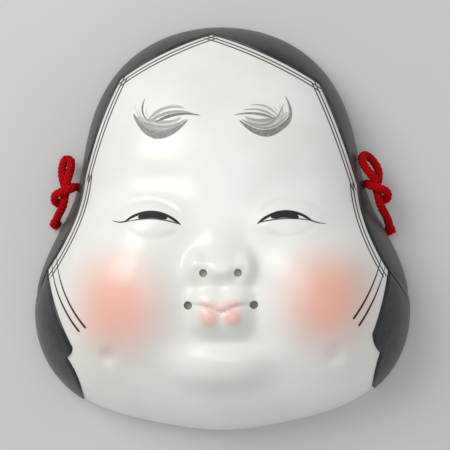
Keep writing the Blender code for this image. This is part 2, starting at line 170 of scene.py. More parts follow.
# The turn round both strands and the straight run through the wall, on the left side
KNOT_TURN = [
    (-0.0832, 0.0158, 0.0184), (-0.0852, 0.0140, 0.0184), (-0.0870, 0.0148, 0.0206),
    (-0.0868, 0.0172, 0.0240), (-0.0848, 0.0190, 0.0272), (-0.0816, 0.0202, 0.0284),
    (-0.0786, 0.0212, 0.0266), (-0.0775, 0.0220, 0.0226), (-0.0779, 0.0226, 0.0182),
    (-0.0773, 0.0228, 0.0148), (-0.0742, 0.0228, 0.0135), (-0.0696, 0.0228, 0.0134),
    (-0.0650, 0.0218, 0.0110), (-0.0600, 0.0185, 0.0058), (-0.0540, 0.0130, 0.0028),
]
SLACK = [
    (-0.0420, 0.0000, 0.0023), (-0.0200, -0.0180, 0.0023), (0.0060, -0.0240, 0.0023),
    (0.0300, -0.0130, 0.0023), (0.0450, 0.0030, 0.0023),
]
CORD_THICKNESS = 0.0041
YARNS_EACH_WAY = 4
YARN_RADIUS = 0.00078
YARN_MIDDLE = 0.00130            # from the middle of the cord to the middle of a yarn
YARN_WEAVE = 0.00026             # in and out as the yarns cross
BRAID_PITCH = 0.0105
BRAID_STEP = 0.00042
FRAY_LENGTH = 0.0045
FRAY_SPREAD = 0.0011
ROUTE_POINTS = 6000
YARN_DEPTHS = (0.25, 0.47)       # from the gaps to the tops of the yarns, as shares of the thickness; the painted shade in the gaps fades over this

# The painting, in millimetres: start, end, bow, half width, swell, taper, darkness
LEFT_BROW = [
    ((-40.0, 55.8), (-19.0, 54.4), -4.8, 2.90, 0.50, 0.60, 0.36),
    ((-40.8, 56.4), (-16.4, 53.6), -6.8, 0.66, 0.50, 0.60, 0.72),
    ((-42.9, 57.6), (-15.2, 53.2), -9.5, 1.95, 0.45, 0.50, 0.82),
    ((-36.9, 65.4), (-33.2, 52.0), -3.0, 0.50, 0.35, 0.70, 0.92),
    ((-40.3, 60.5), (-34.0, 50.2), -1.3, 0.40, 0.60, 0.60, 0.53),
    ((-42.0, 62.5), (-35.5, 50.3), -1.3, 0.24, 0.60, 0.60, 0.47),
    ((-36.1, 60.6), (-33.4, 53.4), -1.0, 0.24, 0.50, 0.60, 0.47),
    ((-35.4, 53.4), (-17.0, 59.2), 3.2, 1.01, 0.30, 0.85, 0.59),
    ((-34.6, 52.8), (-13.6, 56.8), 2.5, 0.99, 0.30, 0.85, 0.66),
    ((-31.2, 52.6), (-9.0, 55.2), 2.3, 0.99, 0.30, 0.90, 0.92),
    ((-35.8, 54.4), (-18.0, 54.3), -1.9, 0.92, 0.30, 0.70, 0.65),
    ((-38.0, 53.4), (-15.9, 53.8), -3.7, 0.99, 0.30, 0.70, 0.68),
    ((-25.6, 60.9), (-17.2, 59.6), 0.6, 0.29, 0.50, 0.60, 0.41),
]
RIGHT_BROW = [
    ((12.4, 54.4), (33.6, 56.8), -4.8, 2.90, 0.60, 0.50, 0.36),
    ((10.6, 53.4), (34.4, 56.4), -6.1, 0.66, 0.60, 0.50, 0.72),
    ((9.8, 52.6), (35.4, 55.4), -7.8, 1.85, 0.50, 0.45, 0.86),
    ((32.7, 65.4), (27.4, 46.4), 4.9, 1.12, 0.70, 0.40, 0.78),
    ((14.6, 60.1), (28.9, 54.6), 2.6, 0.65, 0.80, 0.40, 0.57),
    ((11.0, 57.6), (27.8, 54.0), 2.2, 0.68, 0.80, 0.40, 0.63),
    ((7.2, 55.2), (27.4, 53.4), 1.8, 0.87, 0.90, 0.35, 0.83),
    ((13.2, 53.9), (28.2, 54.4), -1.6, 1.12, 0.70, 0.50, 0.67),
    ((10.8, 53.3), (31.8, 61.6), -7.1, 0.87, 0.55, 0.65, 0.69),
    ((29.5, 61.0), (28.8, 52.0), 0.9, 0.24, 0.50, 0.60, 0.46),
    ((31.0, 59.6), (28.4, 51.0), 1.2, 0.40, 0.50, 0.60, 0.57),
    ((25.6, 60.2), (29.6, 55.6), 0.5, 0.24, 0.50, 0.60, 0.40),
]
LEFT_EYE = [
    ((-46.0, 4.2), (-18.7, 2.0), 5.3, 0.68, 0.12, 0.10, 1.0),
    ((-39.6, 6.0), (-25.2, 5.4), 1.5, 1.75, 0.20, 0.20, 1.0),
    ((-44.6, 3.9), (-19.2, 2.3), 2.0, 0.34, 0.20, 0.15, 0.92),
    ((-53.0, 4.7), (-43.6, 4.9), -1.1, 0.44, 0.80, 0.10, 0.95),
]
RIGHT_EYE = [
    ((17.7, 2.2), (44.6, 3.2), 5.3, 0.68, 0.10, 0.12, 1.0),
    ((24.2, 5.4), (37.8, 5.2), 1.5, 1.80, 0.20, 0.20, 1.0),
    ((18.4, 2.7), (44.0, 3.5), 1.5, 0.34, 0.15, 0.20, 0.92),
    ((40.4, 5.6), (51.6, 2.1), -1.0, 0.44, 0.10, 0.80, 0.95),
]
# Fine double line inside the hairline: distance inside it, half width; how far each one runs past a corner
HAIRLINE_LINES = ((1.75, 0.35), (3.50, 0.35))
LINE_OVERRUN = 2.6
LOOSE_STRANDS = [
    ((-88.4, -14.4), (-69.6, -50.0), -2.5, 0.64, 1.00, 0.02, 1.0),
    ((-85.2, -11.0), (-65.9, -47.8), -2.8, 0.64, 1.00, 0.02, 1.0),
    ((82.0, -12.6), (63.6, -44.4), 1.4, 0.64, 1.00, 0.02, 1.0),
    ((83.8, -17.6), (66.6, -48.2), 1.1, 0.64, 1.00, 0.02, 1.0),
]
# The dark line painted down the crease between the upper hair and the lowest lock, as painted shade in the
# groove
CREASE_SHADE_LINES = [
    ((84.0, -21.6), (97.0, -37.8), 0.6, 0.46, 0.10, 0.60, 1.0),
    ((-89.6, -20.0), (-98.0, -37.6), -0.6, 0.46, 0.10, 0.60, 1.0),
]
# Soft colour: middle, half width and half height, strength
BLUSH = {
    "left": ((-50.6, -36.0), (33.5, 37.5), 0.80),
    "right": ((51.0, -34.0), (33.5, 35.5), 0.82),
}
LIPS = {
    "lower left": ((-5.6, -42.0), (6.4, 5.6), 0.74),
    "lower right": ((5.5, -42.0), (6.0, 5.6), 0.74),
    "upper left": ((-5.2, -35.7), (7.0, 3.2), 0.52),
    "upper right": ((5.2, -35.7), (7.0, 3.2), 0.52),
    "upper middle": ((0.0, -37.8), (4.4, 2.8), 0.52),
}
# Where soft colour starts to fade and where it is gone, as shares of its half width and height
BLUSH_EDGE = (0.12, 1.0)
LIPS_EDGE = (0.30, 1.10)
# Brushes: softness of the edge, and the least ink where the brush ran dry
BROW_BRUSH = (0.30, 0.82)
EYE_BRUSH = (0.20, 1.0)
LINE_BRUSH = (0.22, 0.97)
CREASE_SHADE_BRUSH = (0.40, 1.0)
# Where the painting is, on both sides alike: from and to in x, from and to in y
BROW_ZONE = (5.0, 46.0, 41.0, 68.0)
EYE_ZONE = (15.0, 56.0, -1.0, 12.0)
STRAND_ZONE = (60.0, 110.0, -56.0, -8.0)
LINES_WITHIN = 9.0               # of the hairline
LINES_ABOVE = -24.0

# Colours, as linear light
GLAZE_WHITE = (0.85, 0.845, 0.805, 1.0)
GLAZE_SHADE = (0.79, 0.785, 0.735, 1.0)
BLUSH_PINK = (0.87, 0.40, 0.27, 1.0)
LIP_PINK = (0.88, 0.43, 0.35, 1.0)
BROW_GREY = (0.110, 0.102, 0.096, 1.0)
INK_BLACK = (0.006, 0.007, 0.009, 1.0)
HAIR_BLACK = (0.013, 0.015, 0.020, 1.0)
# The lighter hair colour: random wear, and the painted reflection towards the rim
HAIR_WORN_AND_SHEEN = (0.062, 0.054, 0.048, 1.0)
CLAY = (0.50, 0.44, 0.37, 1.0)
# Darker clay: smears at the back, and painted shade in the holes
CLAY_DARK = (0.36, 0.31, 0.26, 1.0)
CORD_RED = (0.56, 0.0012, 0.0025, 1.0)
# Painted shade: the cord darkens towards this colour in the gaps between its yarns
CORD_GAP_SHADE = (0.13, 0.0005, 0.003, 1.0)
TABLE_PALE = (0.62, 0.61, 0.60, 1.0)
TABLE_SHADE = (0.5952, 0.5856, 0.576, 1.0)
CORD_SHEEN_TINT = (1.0, 0.10, 0.08, 1.0)

# Finishes. Ranges of roughness follow the cloudy patterns; bumps are strength and distance
GLAZE_ROUGHNESS = (0.36, 0.44)
GLAZE_COAT = 0.46
GLAZE_COAT_ROUGHNESS = 0.26
GLAZE_BUMP = (0.10, 0.0004)
INK_ROUGHENS = 0.28
HAIR_ROUGHNESS = (0.34, 0.46)
HAIR_SPECULAR = 0.30
HAIR_COAT = 0.10
HAIR_COAT_ROUGHNESS = 0.22
HAIR_BUMP = (0.16, 0.0006)
HAIR_RIM_SHEEN = 0.34                 # how much lighter the hair is painted near the rim, as a painted reflection
HAIR_RIM_SHEEN_HEIGHTS = (0.050, 0.012)    # none above the first, all of it below the second
HAIR_WORN_AND_SHEEN_RANGE = (0.62, 1.05)
CREASE_ROUGHENS = 0.5
CLAY_ROUGHNESS = (0.78, 0.95)
CLAY_BUMP = (0.45, 0.0008)
CORD_ROUGHNESS = 0.80
CORD_SPECULAR = 0.08
CORD_BUMP = (0.55, 0.0003)
TABLE_ROUGHNESS = 0.75
# Noise scales of the patterns: the higher, the finer
PATTERNS = {
    "brush hairs": 700.0, "blush edge": 60.0, "glaze cloud": 26.0, "glaze grain": 900.0,
    "glaze ripple": 140.0, "hair cloud": 35.0, "hair streak": 420.0, "clay smear": 70.0,
    "clay pits": 900.0, "yarn fibre": 2600.0, "yarn patch": 240.0, "table cloud": 5.0,
}

# Camera and light
CAMERA_TURN = 0.44               # degrees to the right of straight above
CAMERA_ROLL = -0.6               # degrees
CAMERA_AIM = (0.0018, 0.0018, 0.0)
CAMERA_DISTANCE = 0.578
CAMERA_LENS = 85.0
LIGHTS_AIM = (0.0, 0.0, 0.03)
# Soft lights: place, size, power, colour
LIGHTS = {
    "window": ((-0.62, 0.50, 0.88), 0.74, 6.4, (1.0, 0.995, 0.98)),
    "ceiling": ((0.10, 0.05, 1.20), 0.80, 1.8, (0.98, 0.99, 1.0)),
}
ROOM_COLOUR = (0.93, 0.94, 0.96, 1.0)
ROOM_STRENGTH = 0.58
TABLE_SIZE = 3.0


# Shape of the mask

def swell(x, y, place, half, rise, squareness, steepness):
    """A soft rise on the face, or a hollow where the rise is negative."""
    across = abs(x - place[0]) / half[0]
    along = abs(y - place[1]) / half[1]
    reach = (across ** squareness + along ** squareness) ** (1.0 / squareness)
    return rise * np.exp(-(reach ** steepness))


def add_forms(x, y, height, middle_forms, side_forms):
    """The height with forms added in the middle, and with the forms that each side has."""
    for form in middle_forms.values():
        height = height + swell(x, y, *form)
    for form in side_forms.values():
        height = height + swell(x, y, *form) + swell(-x, y, *form)
    return height


def smooth_between(stations, values, steps):
    """A smooth curve through values at rising stations, read at the steps; level beyond the ends."""
    stations = np.asarray(stations, dtype=float)
    values = np.asarray(values, dtype=float)
    steps = np.clip(steps, stations[0], stations[-1])
    slopes = np.gradient(values, stations, axis=0)
    piece = np.clip(np.searchsorted(stations, steps, side="right") - 1, 0, len(stations) - 2)
    gap = stations[piece + 1] - stations[piece]
    share = (steps - stations[piece]) / gap
    if values.ndim > 1:
        gap = gap[..., None]
        share = share[..., None]
    start = values[piece] * (1.0 + 2.0 * share) * (1.0 - share) ** 2
    end = values[piece + 1] * share ** 2 * (3.0 - 2.0 * share)
    leave = slopes[piece] * gap * share * (1.0 - share) ** 2
    arrive = slopes[piece + 1] * gap * share ** 2 * (share - 1.0)
    return start + end + leave + arrive


def ramp(value, start, end):
    """0 up to start, 1 from end on, and smooth between them."""
    share = np.clip((value - start) / (end - start), 0.0, 1.0)
    return share * share * (3.0 - 2.0 * share)


def groove(distance, width, depth):
    """A rounded groove along a line that is this far away."""
    return -depth * np.exp(-((distance / width) ** 2))


def join(first, second, softness):
    """The higher of two forms, with a soft crease between them."""
    return 0.5 * (first + second + np.sqrt((first - second) ** 2 + softness ** 2) - softness)


def nose_relief(x, y):
    """The nose without its wings: a low broad bridge that runs out to the round snub tip."""
    stations = NOSE[::-1]
    heights = [station[0] for station in stations]
    rise = smooth_between(heights, [station[1] for station in stations], y)
    half = smooth_between(heights, [station[2] for station in stations], y)
    return rise * np.exp(-((abs(x) / half) ** NOSE_SQUARENESS))


def broad_relief(x, y):
    """Forehead, cheeks, eyeballs, nose, muzzle and chin, which the hollow back follows too."""
    return add_forms(x, y, nose_relief(x, y), MIDDLE_FORMS, SIDE_FORMS)


def eye_relief(x, y):
    """The groove between the lids and the folds above and below it, all arches from corner to corner."""
    height = 0.0
    for inner, outer, rise, width, depth in EYE_CREASES.values():
        share = (abs(x) - inner[0]) / (outer[0] - inner[0])
        arch = inner[1] + (outer[1] - inner[1]) * share + 4.0 * rise * share * (1.0 - share)
        ends = ramp(share, -0.05, 0.12) * ramp(share, 1.05, 0.88)
        height = height + groove(y - arch, width, depth) * ends
    return height


def mouth_line_relief(x, y):
    """The groove between the lips, which dips in the middle."""
    corner, dip, dip_half, width, depth = MOUTH_LINE
    line = corner[1] - dip * ramp(abs(x), dip_half, -0.3 * dip_half)
    ends = ramp(abs(x), 1.1 * corner[0], 0.9 * corner[0])
    return groove(y - line, width, depth) * ends


def full_relief(x, y):
    """The broad forms with nose wings, nostrils, lids, lips and dimples."""
    nose = join(nose_relief(x, y), swell(abs(x), y, *NOSE_WING), NOSE_WING_BLEND)
    height = add_forms(x, y, nose, MIDDLE_FORMS | MIDDLE_DETAILS, SIDE_FORMS | SIDE_DETAILS)
    return height + eye_relief(x, y) + mouth_line_relief(x, y)


def rim_radius(angle):
    """Radius of the rim at an angle: a smooth curve through the named radii."""
    stations = np.radians(list(RIM_RADIUS)) - math.pi / 2
    orders = np.arange(len(stations))
    weights = np.linalg.solve(np.cos(np.outer(stations, orders)), list(RIM_RADIUS.values()))
    return np.cos(np.outer(angle - math.pi / 2, orders)) @ weights


def angle_about_nose(x, y):
    """Angle round the nose, anticlockwise from the chin at -90 degrees."""
    return np.mod(np.arctan2(y - NOSE_Y, x) + math.pi / 2, 2.0 * math.pi) - math.pi / 2


def hairline_sections():
    """The hairline's sections, (start, end, bow), anticlockwise from the right lock's tip to the left's."""
    right = [(end[0], start[0], start[1]) for start, end in zip(HAIRLINE_RIGHT, HAIRLINE_RIGHT[1:])]
    left = [(start[0], end[0], start[1]) for start, end in zip(HAIRLINE_LEFT, HAIRLINE_LEFT[1:])]
    return right[::-1] + left


def hairline_radius(angle):
    """Distance of the hairline from the nose; below the locks it runs on level between their tips."""
    steps = np.linspace(0.0, 1.0, 13)
    angles = []
    radii = []
    for start, end, bow in hairline_sections():
        chord = np.subtract(end, start)
        outward = np.array([chord[1], -chord[0]]) / np.hypot(*chord)
        line = np.outer(1.0 - steps, start) + np.outer(steps, end)
        line = line + np.outer(4.0 * bow * steps * (1.0 - steps), outward)
        angles.extend(angle_about_nose(line[:, 0], line[:, 1]))
        radii.extend(np.hypot(line[:, 0], line[:, 1] - NOSE_Y))
    return np.interp(angle, angles, radii)


def sector_angles(finer):
    """Angles of the mesh lines that run out from the nose, with one on each corner of the hairline."""
    corners = [angle_about_nose(*start) for start, end, bow in hairline_sections()]
    corners.append(angle_about_nose(*HAIRLINE_LEFT[-1][0]))
    edge = math.radians(TIP_EDGE)
    stops = [corners[0] - edge] + corners + [corners[-1] + edge, corners[0] - edge + 2.0 * math.pi]
    counts = [1] + [count * finer for count in SECTORS[::-1] + SECTORS] + [1, CHIN_SECTORS * finer]
    angles = []
    for start, end, count in zip(stops, stops[1:], counts):
        angles.append(np.linspace(start, end, count, endpoint=False))
    return np.concatenate(angles)


def hair_presence(angle):
    """1 where hair runs along the rim, 0 below the tips of the two lowest locks."""
    first = angle_about_nose(*HAIRLINE_RIGHT[-1][0])
    last = angle_about_nose(*HAIRLINE_LEFT[-1][0])
    slack = math.radians(TIP_EDGE) / 2.0
    return np.where((angle > first - slack) & (angle < last + slack), 1.0, 0.0)


def hairline_share(angle):
    """How far out the hairline is, as ring shares count it; just inside the rim under the chin."""
    reach = np.clip(hairline_radius(angle) / rim_radius(angle), 0.0, 0.992)
    return np.arcsin(reach) * 2.0 / math.pi


def hair_edge_share(angle):
    """Width of the rounded edge of the hair, as ring shares count it."""
    return HAIR_EDGE / (1.3 * rim_radius(angle))


def ring_shares(angle, finer):
    """Rows of ring shares, 0 at the nose to 1 at the rim, with one ring on the hairline."""
    hairline = hairline_share(angle)
    edge = hair_edge_share(angle)
    crest = np.minimum(hairline + edge, 0.5 * (hairline + 1.0))
    face = (np.arange(FACE_RINGS * finer) / (FACE_RINGS * finer)) ** RING_CROWDING
    hair = np.arange(HAIR_RINGS * finer + 1) / (HAIR_RINGS * finer)
    rows = [hairline * share for share in face]
    rows += [hairline + (crest - hairline) * share for share in np.arange(finer) / finer]
    rows += [crest + (1.0 - crest) * share for share in hair]
    return np.array(rows)


def dome(angle, share, wall):
    """Plain dome: its points, and the outward direction in the plane of the angle."""
    rim = rim_radius(angle) - wall
    crown = CROWN - wall
    reach = np.sin(share * math.pi / 2)
    height = crown * np.sqrt(np.clip(1.0 - reach ** DOME_POWER, 0.0, 1.0))
    out = DOME_POWER * reach ** (DOME_POWER - 1.0) / rim
    up = 2.0 * height / crown ** 2
    length = np.hypot(out, up)
    return reach * rim, height, out / length, up / length


def hair_lift(angle, share):
    """How far the hair stands out of the dome, with the crease above the lowest lock."""
    hairline = hairline_share(angle)
    edge = hair_edge_share(angle)
    lift = HAIR_RISE * np.sqrt(ramp(share, hairline, hairline + edge))
    side = np.degrees(np.arctan2(np.sin(angle), np.abs(np.cos(angle))))
    along = np.clip((share - hairline) / (1.0 - hairline), 0.0, 1.0)
    crease = LOCK_CREASE[0] + (LOCK_CREASE[1] - LOCK_CREASE[0]) * along
    lift = lift + groove(side - crease, LOCK_CREASE_WIDTH, LOCK_CREASE_DEPTH) * ramp(along, 0.0, 0.2)
    return lift * hair_presence(angle)


def outer_surface(angle, share):
    """Points of the outside of the mask."""
    radius, height, out, up = dome(angle, share, 0.0)
    x = radius * np.cos(angle)
    y = NOSE_Y + radius * np.sin(angle)
    fade = ramp(np.sin(share * math.pi / 2), *FORMS_FADE)
    lift = hair_lift(angle, share)
    radius = radius + lift * out
    z = height + lift * up + fade * full_relief(x, y)
    return np.stack([radius * np.cos(angle), NOSE_Y + radius * np.sin(angle), z], axis=-1)


def inner_surface(angle, share):
    """Points of the hollow back, which follows the broad forms alone."""
    radius, height, out, up = dome(angle, share, WALL)
    x = radius * np.cos(angle)
    y = NOSE_Y + radius * np.sin(angle)
    fade = ramp(np.sin(share * math.pi / 2), *FORMS_FADE)
    return np.stack([x, y, height + HOLLOW_FORMS * fade * broad_relief(x, y)], axis=-1)


def face_height(x, y):
    """Height of the outside of the face at a place seen from the front."""
    angle = angle_about_nose(np.array([x]), np.array([y]))
    share = np.arcsin(math.hypot(x, y - NOSE_Y) / rim_radius(angle)) * 2.0 / math.pi
    return float(outer_surface(angle, share)[0][2])


# Camera, light and table

def set_camera():
    """Looks down on the face from the distance and side that the mask is shown from."""
    turn = math.radians(CAMERA_TURN)
    roll = math.radians(CAMERA_ROLL)
    target = Vector(CAMERA_AIM)
    towards = Vector((math.sin(turn), 0.0, math.cos(turn)))
    right = Vector((0.0, 1.0, 0.0)).cross(towards).normalized()
    up = towards.cross(right)
    axes = Matrix((right, up, towards)).transposed() @ Matrix.Rotation(roll, 3, "Z")
    lens = bpy.data.cameras.new("camera")
    lens.lens = CAMERA_LENS
    lens.clip_start = 0.01
    camera = bpy.data.objects.new("camera", lens)
    camera.matrix_world = Matrix.Translation(target + towards * CAMERA_DISTANCE) @ axes.to_4x4()
    bpy.context.scene.collection.objects.link(camera)
    bpy.context.scene.camera = camera


def add_soft_light(name, place, size, power, colour):
    lamp = bpy.data.lights.new(name, "AREA")
    lamp.shape = "DISK"
    lamp.size = size
    lamp.energy = power
    lamp.color = colour
    light = bpy.data.objects.new(name, lamp)
    light.location = place
    light.rotation_euler = (Vector(place) - Vector(LIGHTS_AIM)).to_track_quat("Z", "Y").to_euler()
    bpy.context.scene.collection.objects.link(light)


def light_the_table():
    """A large window-like light at the upper left, a broad one above and pale surroundings."""
    for name, light in LIGHTS.items():
        add_soft_light(name, *light)
    world = bpy.data.worlds.new("pale_room")
    world.use_nodes = True
    sky = world.node_tree.nodes["Background"]
    sky.inputs["Color"].default_value = ROOM_COLOUR
    sky.inputs["Strength"].default_value = ROOM_STRENGTH
    bpy.context.scene.world = world
    bpy.context.scene.view_settings.view_transform = "Standard"


def lay_table():
    bpy.ops.mesh.primitive_plane_add(size=TABLE_SIZE, location=(0.0, 0.0, 0.0))
    table = bpy.context.object
    table.name = "table"
    table.data.materials.append(table_finish())


# Painting and finishes

def calc(tree, operation, *values, clamp=False):
    """A maths node; gives its output."""
    node = tree.nodes.new("ShaderNodeMath")
    node.operation = operation
    node.use_clamp = clamp
    for socket, value in zip(node.inputs, values):
        feed(tree, socket, value)
    return node.outputs[0]


def vector(tree, operation, *values):
    """A vector maths node; gives the node, whose outputs are Vector and Value."""
    node = tree.nodes.new("ShaderNodeVectorMath")
    node.operation = operation
    for socket, value in zip(node.inputs, values):
        feed(tree, socket, value)
    return node


def feed(tree, socket, value):
    if isinstance(value, bpy.types.NodeSocket):
        tree.links.new(value, socket)
    else:
        socket.default_value = value


def blend_colours(tree, share, first, second):
    node = tree.nodes.new("ShaderNodeMix")
    node.data_type = "RGBA"
    feed(tree, node.inputs[0], share)
    feed(tree, node.inputs[6], first)
    feed(tree, node.inputs[7], second)
    return node.outputs[2]


def smooth_step(tree, value, start, end, low=0.0, high=1.0):
    node = tree.nodes.new("ShaderNodeMapRange")
    node.interpolation_type = "SMOOTHSTEP"
    for socket, entry in zip(node.inputs, (value, start, end, low, high)):
        feed(tree, socket, entry)
    return node.outputs[0]


def noise(tree, place, scale, detail=2.0, roughness=0.5, distortion=0.0):
    node = tree.nodes.new("ShaderNodeTexNoise")
    feed(tree, node.inputs["Vector"], place)
    node.inputs["Scale"].default_value = scale
    node.inputs["Detail"].default_value = detail
    node.inputs["Roughness"].default_value = roughness
    node.inputs["Distortion"].default_value = distortion
    return node.outputs["Fac"]


def object_place(tree):
    return tree.nodes.new("ShaderNodeTexCoord").outputs["Object"]


def bump(tree, height, strength, distance):
    node = tree.nodes.new("ShaderNodeBump")
    node.inputs["Strength"].default_value = strength
    node.inputs["Distance"].default_value = distance
    feed(tree, node.inputs["Height"], height)
    return node.outputs["Normal"]


def new_group(name, inputs, outputs):
    """A node group; gives its tree, and its inputs and outputs by name."""
    tree = bpy.data.node_groups.new(name, "ShaderNodeTree")
    for label, kind in inputs:
        tree.interface.new_socket(label, in_out="INPUT", socket_type=kind)
    for label, kind in outputs:
        tree.interface.new_socket(label, in_out="OUTPUT", socket_type=kind)
    return tree, tree.nodes.new("NodeGroupInput").outputs, tree.nodes.new("NodeGroupOutput").inputs


def place_group(tree, group, **values):
    node = tree.nodes.new("ShaderNodeGroup")
    node.node_tree = group
    for label, value in values.items():
        feed(tree, node.inputs[label.replace("_", " ")], value)
    return node.outputs


def make_brush_stroke():
    """One bowed stroke of a pointed brush, seen from the front; all in millimetres."""
    tree, given, result = new_group(
        "brush stroke",
        [("Place", "NodeSocketVector"), ("Start", "NodeSocketVector"), ("End", "NodeSocketVector"),
         ("Bow", "NodeSocketFloat"), ("Half Width", "NodeSocketFloat"), ("Swell", "NodeSocketFloat"),
         ("Taper", "NodeSocketFloat"), ("Darkness", "NodeSocketFloat"), ("Softness", "NodeSocketFloat")],
        [("Ink", "NodeSocketFloat")])
    chord = vector(tree, "SUBTRACT", given["End"], given["Start"]).outputs[0]
    length = vector(tree, "LENGTH", chord).outputs["Value"]
    direction = vector(tree, "NORMALIZE", chord).outputs[0]
    arm = vector(tree, "SUBTRACT", given["Place"], given["Start"]).outputs[0]
    along = calc(tree, "DIVIDE", vector(tree, "DOT_PRODUCT", arm, direction).outputs["Value"], length)
    split = tree.nodes.new("ShaderNodeSeparateXYZ")
    tree.links.new(vector(tree, "CROSS_PRODUCT", direction, arm).outputs[0], split.inputs[0])
    left = calc(tree, "SUBTRACT", 1.0, along)
    bow = calc(tree, "MULTIPLY", given["Bow"], 4.0)
    offset = calc(tree, "MULTIPLY", bow, calc(tree, "MULTIPLY", along, left))
    distance = calc(tree, "ABSOLUTE", calc(tree, "SUBTRACT", split.outputs[2], offset))
    slope = calc(tree, "DIVIDE", calc(tree, "MULTIPLY", bow, calc(tree, "SUBTRACT", left, along)), length)
    steep = calc(tree, "SQRT", calc(tree, "MULTIPLY_ADD", slope, slope, 1.0))
    grow = calc(tree, "SQRT", calc(tree, "DIVIDE", along, given["Swell"], clamp=True))
    fade = calc(tree, "SQRT", calc(tree, "DIVIDE", left, given["Taper"], clamp=True))
    body = calc(tree, "MULTIPLY", calc(tree, "MULTIPLY", grow, fade), given["Half Width"])
    edge = calc(tree, "SUBTRACT", calc(tree, "MULTIPLY", body, steep), distance)
    soft = calc(tree, "MULTIPLY", given["Softness"], steep)
    ink = calc(tree, "ADD", calc(tree, "DIVIDE", edge, soft), 0.5, clamp=True)
    begun = calc(tree, "GREATER_THAN", along, 0.0)
    within = calc(tree, "MULTIPLY", begun, calc(tree, "LESS_THAN", along, 1.0))
    ink = calc(tree, "MULTIPLY", ink, within)
    feed(tree, result["Ink"], calc(tree, "MULTIPLY", ink, given["Darkness"]))
    return tree


def paint_strokes(name, strokes, brush, softness, dryness):
    """A group that puts out the darkest of many strokes of one brush."""
    tree, given, result = new_group(name, [("Place", "NodeSocketVector")], [("Ink", "NodeSocketFloat")])
    darkest = None
    for start, end, bow, half, swelling, taper, darkness in strokes:
        ink = place_group(
            tree, brush, Place=given["Place"], Start=(*start, 0.0), End=(*end, 0.0), Bow=bow,
            Half_Width=half, Swell=swelling, Taper=taper, Darkness=darkness, Softness=softness)["Ink"]
        darkest = ink if darkest is None else calc(tree, "MAXIMUM", darkest, ink)
    streak = noise(tree, object_place(tree), PATTERNS["brush hairs"], 2.0)
    wetness = smooth_step(tree, streak, 0.2, 0.6, dryness, 1.0)
    feed(tree, result["Ink"], calc(tree, "MULTIPLY", darkest, wetness))
    return tree


def flat_place(tree):
    """The place on the face as seen from the front, in millimetres."""
    return vector(tree, "MULTIPLY", object_place(tree), (1000.0, 1000.0, 0.0)).outputs[0]


def soft_patch(tree, place, middle, half, strength, start, end):
    """An airbrushed patch: full inside start, gone at end, as shares of its half width and height."""
    arm = vector(tree, "SUBTRACT", place, (*middle, 0.0)).outputs[0]
    share = vector(tree, "DIVIDE", arm, (*half, 1.0)).outputs[0]
    reach = vector(tree, "LENGTH", share).outputs["Value"]
    return smooth_step(tree, reach, start, end, strength, 0.0)


def make_face_colour():
    """White glaze with airbrushed cheeks and lips, and the height of its fine ripple."""
    tree, given, result = new_group(
        "pearl glaze", [("Place", "NodeSocketVector")],
        [("Color", "NodeSocketColor"), ("Sheen", "NodeSocketFloat"), ("Height", "NodeSocketFloat")])
    spot = object_place(tree)
    cloud = noise(tree, spot, PATTERNS["glaze cloud"], 3.0)
    grain = noise(tree, spot, PATTERNS["glaze grain"], 2.0)
    colour = blend_colours(tree, smooth_step(tree, cloud, 0.35, 0.70), GLAZE_WHITE, GLAZE_SHADE)
    blush = None
    wander = noise(tree, spot, PATTERNS["blush edge"], 2.0)
    wander = calc(tree, "MULTIPLY_ADD", wander, 0.10, 0.95)
    for middle, half, strength in BLUSH.values():
        patch = soft_patch(tree, given["Place"], middle, half, strength, *BLUSH_EDGE)
        blush = patch if blush is None else calc(tree, "ADD", blush, patch)
    blush = calc(tree, "MULTIPLY", blush, wander, clamp=True)
    colour = blend_colours(tree, blush, colour, BLUSH_PINK)
    lips = None
    for middle, half, strength in LIPS.values():
        patch = soft_patch(tree, given["Place"], middle, half, strength, *LIPS_EDGE)
        lips = patch if lips is None else calc(tree, "MAXIMUM", lips, patch)
    colour = blend_colours(tree, calc(tree, "MULTIPLY", lips, wander), colour, LIP_PINK)
    feed(tree, result["Color"], colour)
    feed(tree, result["Sheen"], smooth_step(tree, cloud, 0.3, 0.75, *GLAZE_ROUGHNESS))
    ripple = noise(tree, spot, PATTERNS["glaze ripple"], 2.0)
    feed(tree, result["Height"], calc(tree, "MULTIPLY_ADD", grain, 0.25, ripple))
    return tree


def new_finish(name):
    finish = bpy.data.materials.new(name)
    finish.use_nodes = True
    return finish, finish.node_tree, finish.node_tree.nodes["Principled BSDF"]


def glaze_shader(shader):
    """The clear glaze over white and painted parts alike."""
    shader.inputs["Coat Roughness"].default_value = GLAZE_COAT_ROUGHNESS
    shader.inputs["IOR"].default_value = 1.5
    shader.inputs["Sheen Weight"].default_value = 0.08
    shader.inputs["Sheen Roughness"].default_value = 0.4


def face_finish(name, face_colour, strokes=None, ink=None):
    """White glazed face; with strokes, painted under the glaze in that ink."""
    finish, tree, shader = new_finish(name)
    place = flat_place(tree)
    glaze = place_group(tree, face_colour, Place=place)
    colour = glaze["Color"]
    shader.inputs["Coat Weight"].default_value = GLAZE_COAT
    roughness = glaze["Sheen"]
    if strokes:
        mask = place_group(tree, strokes, Place=place)["Ink"]
        colour = blend_colours(tree, mask, colour, ink)
        roughness = calc(tree, "MULTIPLY_ADD", mask, INK_ROUGHENS, roughness)
        bare = calc(tree, "SUBTRACT", 1.0, mask, clamp=True)
        feed(tree, shader.inputs["Coat Weight"], calc(tree, "MULTIPLY", bare, GLAZE_COAT))
    feed(tree, shader.inputs["Base Color"], colour)
    feed(tree, shader.inputs["Roughness"], roughness)
    feed(tree, shader.inputs["Normal"], bump(tree, glaze["Height"], *GLAZE_BUMP))
    glaze_shader(shader)
    return finish


